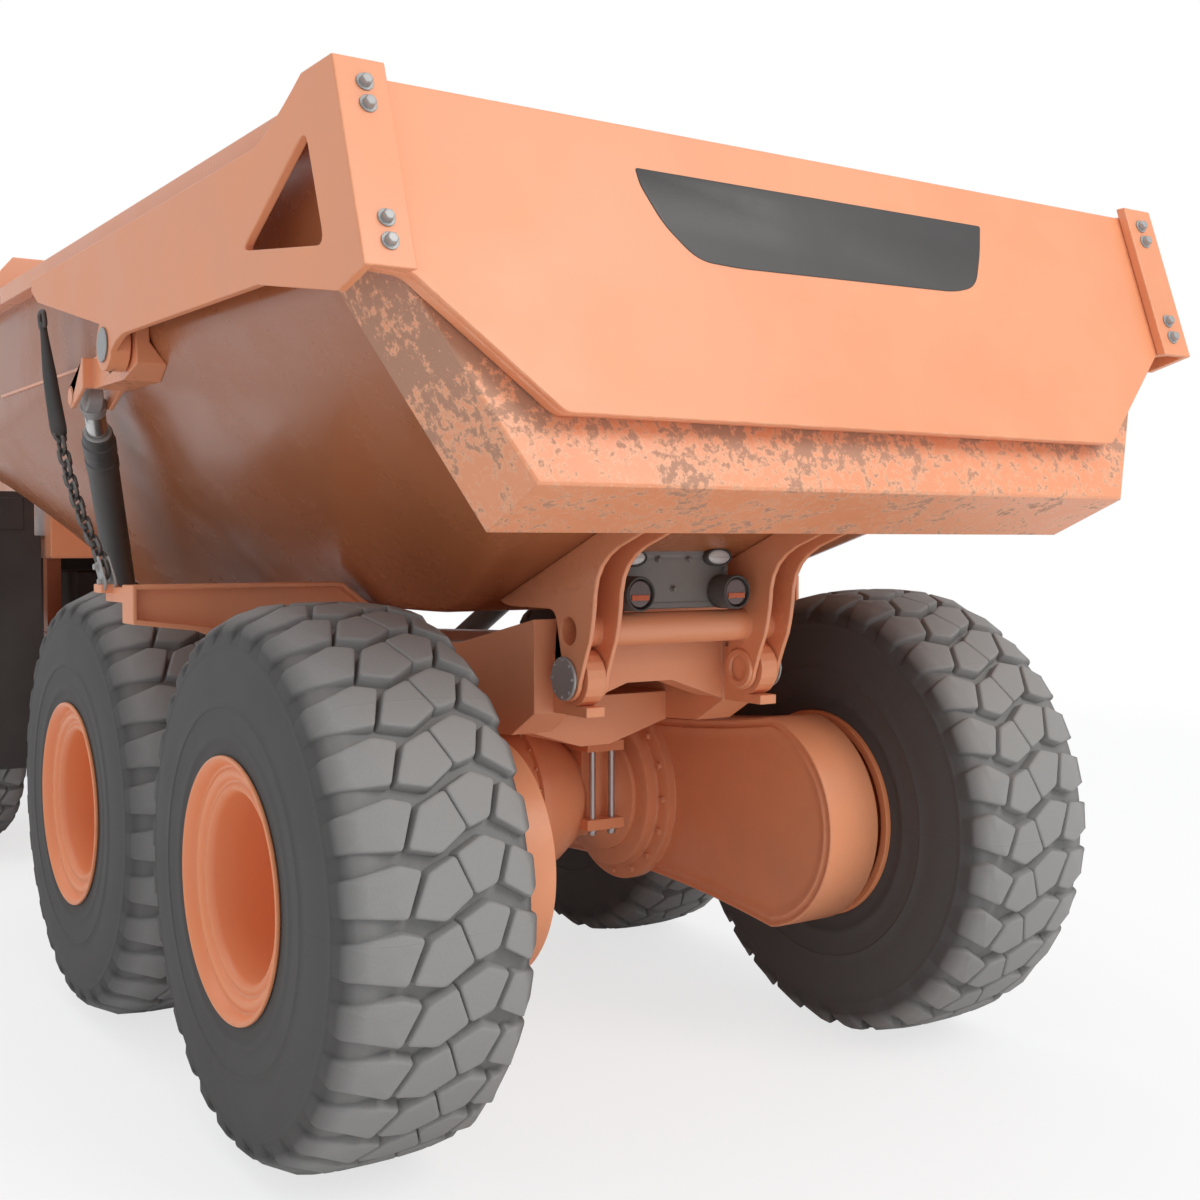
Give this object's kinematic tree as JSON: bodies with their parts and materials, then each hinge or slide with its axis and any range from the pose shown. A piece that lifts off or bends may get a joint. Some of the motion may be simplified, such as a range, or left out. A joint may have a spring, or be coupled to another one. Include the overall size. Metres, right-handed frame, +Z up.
{
  "type": "articulated dump truck",
  "caption": "Articulated dump truck with a hinged front half, tandem bogie rear wheels, a tipping hollow bed, a chain-held tailgate, hoist cylinders, cab and tilting hood.",
  "frame": {"origin": "on the ground, under the middle of the bounding box", "axes": "+Z up, +Y towards the tail, +X to the truck's left"},
  "size_m": [2.952, 9.464, 3.3],
  "materials": {
    "orange_paint": "satin orange paint, worn at the edges",
    "dark_paint": "dark grey-brown paint",
    "bare_steel": "bare grey steel",
    "tyre_rubber": "dusty grey-black rubber",
    "window_glass": "clear tinted glass",
    "seat_cloth": "dark woven seat cloth",
    "cab_plastic": "matte dark trim"
  },
  "bodies": {
    "tractor": {"front_frame": "orange_paint", "front_bumper": "dark_paint", "engine_block": "dark_paint", "front_axle": "orange_paint", "cab_shell": "orange_paint", "windscreen": "window_glass", "rear_window": "window_glass", "right_window": "window_glass", "seat_base": "cab_plastic", "operator_seat": "seat_cloth", "dash_console": "cab_plastic", "front_fender_left": "dark_paint", "front_fender_right": "dark_paint", "exhaust_stack": "bare_steel", "mirror_left": "dark_paint", "mirror_right": "dark_paint"},
    "door": {"cab_door": "orange_paint", "cab_door_glass": "window_glass"},
    "hood": {"engine_hood": "orange_paint", "radiator_grille": "dark_paint"},
    "hitch": {"articulation_hitch": "dark_paint"},
    "rear_chassis": {"rear_frame": "orange_paint", "centre_axle": "orange_paint", "drive_shaft": "bare_steel", "outrigger_left": "orange_paint", "outrigger_right": "orange_paint"},
    "bed": {"dump_bed": "orange_paint", "bed_hinge_frame": "orange_paint", "light_panel": "dark_paint", "lift_bracket_left": "orange_paint", "lift_bracket_right": "orange_paint"},
    "tailgate": {"tailgate_panel": "orange_paint", "tailgate_arm_left": "orange_paint", "tailgate_arm_right": "orange_paint"},
    "hoist_barrel_left": {"hoist_barrel_left": "dark_paint"},
    "hoist_rod_left": {"hoist_rod_left": "bare_steel"},
    "chain_left": {"check_chain_left": "dark_paint"},
    "bogie_left": {"tandem_case_left": "orange_paint"},
    "wheel_middle_left": {"tyre_middle_left": "tyre_rubber", "rim_middle_left": "orange_paint"},
    "wheel_rear_left": {"tyre_rear_left": "tyre_rubber", "rim_rear_left": "orange_paint"},
    "wheel_front_left": {"tyre_front_left": "tyre_rubber", "rim_front_left": "orange_paint"},
    "steer_barrel_left": {"steer_barrel_left": "dark_paint"},
    "steer_rod_left": {"steer_rod_left": "bare_steel"},
    "hoist_barrel_right": {"hoist_barrel_right": "dark_paint"},
    "hoist_rod_right": {"hoist_rod_right": "bare_steel"},
    "chain_right": {"check_chain_right": "dark_paint"},
    "bogie_right": {"tandem_case_right": "orange_paint"},
    "wheel_middle_right": {"tyre_middle_right": "tyre_rubber", "rim_middle_right": "orange_paint"},
    "wheel_rear_right": {"tyre_rear_right": "tyre_rubber", "rim_rear_right": "orange_paint"},
    "wheel_front_right": {"tyre_front_right": "tyre_rubber", "rim_front_right": "orange_paint"},
    "steer_barrel_right": {"steer_barrel_right": "dark_paint"},
    "steer_rod_right": {"steer_rod_right": "bare_steel"}
  },
  "joints": [
    {"name": "steer", "type": "hinge", "parent": "tractor", "child": "hitch", "pos_m": [0, -0.654, 1], "axis": [0, 0, 1], "range_deg": [-45, 45]},
    {"name": "frame_roll", "type": "hinge", "parent": "hitch", "child": "rear_chassis", "pos_m": [0, -0.3, 1], "axis": [0, 1, 0], "range_deg": [-15, 15]},
    {"name": "bed_tilt", "type": "hinge", "parent": "rear_chassis", "child": "bed", "pos_m": [0, 3.801, 1.372], "axis": [-1, 0, 0], "range_deg": [0, 70]},
    {"name": "tailgate_swing", "type": "hinge", "parent": "bed", "child": "tailgate", "pos_m": [0, 2.661, 2.437], "axis": [1, 0, 0], "range_deg": [0, 88]},
    {"name": "door_swing", "type": "hinge", "parent": "tractor", "child": "door", "pos_m": [0.736, -2.604, 2.48], "axis": [0, 0, -1], "range_deg": [0, 80]},
    {"name": "hood_tilt", "type": "hinge", "parent": "tractor", "child": "hood", "pos_m": [0, -4.604, 1.27], "axis": [1, 0, 0], "range_deg": [0, 60]},
    {"name": "hoist_swing_left", "type": "hinge", "parent": "rear_chassis", "child": "hoist_barrel_left", "pos_m": [0.6, 0.216, 0.8], "axis": [-0.5746, -0.354, 0.7379], "range_deg": [0, 10]},
    {"name": "hoist_stroke_left", "type": "slide", "parent": "hoist_barrel_left", "child": "hoist_rod_left", "axis": [0.2981, 0.7492, 0.5915], "range_m": [0, 2.02]},
    {"name": "chain_swing_left", "type": "hinge", "parent": "rear_chassis", "child": "chain_left", "pos_m": [1.436, 2.551, 1.672], "axis": [-1, 0, 0], "range_deg": [0, 81]},
    {"name": "bogie_tilt_left", "type": "hinge", "parent": "rear_chassis", "child": "bogie_left", "pos_m": [0, 2.7445, 0.808], "axis": [1, 0, 0], "range_deg": [-10, 10]},
    {"name": "wheel_spin_middle_left", "type": "hinge", "parent": "bogie_left", "child": "wheel_middle_left", "pos_m": [1.108, 1.893, 0.808], "axis": [1, 0, 0], "continuous": true},
    {"name": "wheel_spin_rear_left", "type": "hinge", "parent": "bogie_left", "child": "wheel_rear_left", "pos_m": [1.108, 3.596, 0.808], "axis": [1, 0, 0], "continuous": true},
    {"name": "wheel_spin_front_left", "type": "hinge", "parent": "tractor", "child": "wheel_front_left", "pos_m": [1.108, -1.944, 0.808], "axis": [1, 0, 0], "continuous": true},
    {"name": "steer_barrel_swing_left", "type": "hinge", "parent": "tractor", "child": "steer_barrel_left", "pos_m": [0.375, -1.404, 0.905], "axis": [0, 0, 1], "range_deg": [-5.81, 5.81]},
    {"name": "steer_rod_stroke_left", "type": "slide", "parent": "steer_barrel_left", "child": "steer_rod_left", "axis": [-0.0968, 0.9953, 0], "range_m": [-0.2238, 0.2238]},
    {"name": "hoist_swing_right", "type": "hinge", "parent": "rear_chassis", "child": "hoist_barrel_right", "pos_m": [-0.6, 0.216, 0.8], "axis": [-0.5746, 0.354, -0.7379], "range_deg": [0, 10]},
    {"name": "hoist_stroke_right", "type": "slide", "parent": "hoist_barrel_right", "child": "hoist_rod_right", "axis": [-0.2981, 0.7492, 0.5915], "range_m": [0, 2.02]},
    {"name": "chain_swing_right", "type": "hinge", "parent": "rear_chassis", "child": "chain_right", "pos_m": [-1.436, 2.551, 1.672], "axis": [-1, 0, 0], "range_deg": [0, 81]},
    {"name": "bogie_tilt_right", "type": "hinge", "parent": "rear_chassis", "child": "bogie_right", "pos_m": [0, 2.7445, 0.808], "axis": [1, 0, 0], "range_deg": [-10, 10]},
    {"name": "wheel_spin_middle_right", "type": "hinge", "parent": "bogie_right", "child": "wheel_middle_right", "pos_m": [-1.108, 1.893, 0.808], "axis": [1, 0, 0], "continuous": true},
    {"name": "wheel_spin_rear_right", "type": "hinge", "parent": "bogie_right", "child": "wheel_rear_right", "pos_m": [-1.108, 3.596, 0.808], "axis": [1, 0, 0], "continuous": true},
    {"name": "wheel_spin_front_right", "type": "hinge", "parent": "tractor", "child": "wheel_front_right", "pos_m": [-1.108, -1.944, 0.808], "axis": [1, 0, 0], "continuous": true},
    {"name": "steer_barrel_swing_right", "type": "hinge", "parent": "tractor", "child": "steer_barrel_right", "pos_m": [-0.375, -1.404, 0.905], "axis": [0, 0, 1], "range_deg": [-5.81, 5.81]},
    {"name": "steer_rod_stroke_right", "type": "slide", "parent": "steer_barrel_right", "child": "steer_rod_right", "axis": [0.0968, 0.9953, 0], "range_m": [-0.2238, 0.2238]}
  ],
  "couplings": [
    {"joint": "tailgate_swing", "follows": "bed_tilt", "ratio": 1.25},
    {"joint": "hoist_swing_left", "follows": "bed_tilt", "ratio": 0.14097},
    {"joint": "hoist_stroke_left", "follows": "bed_tilt", "m_per_rad": 1.64},
    {"joint": "chain_swing_left", "follows": "bed_tilt", "ratio": 1.146},
    {"joint": "steer_barrel_swing_left", "follows": "steer", "ratio": 0.12467},
    {"joint": "steer_rod_stroke_left", "follows": "steer", "m_per_rad": 0.28109},
    {"joint": "hoist_swing_right", "follows": "bed_tilt", "ratio": 0.14097},
    {"joint": "hoist_stroke_right", "follows": "bed_tilt", "m_per_rad": 1.64},
    {"joint": "chain_swing_right", "follows": "bed_tilt", "ratio": 1.146},
    {"joint": "steer_barrel_swing_right", "follows": "steer", "ratio": 0.12467},
    {"joint": "steer_rod_stroke_right", "follows": "steer", "m_per_rad": -0.28109}
  ]
}
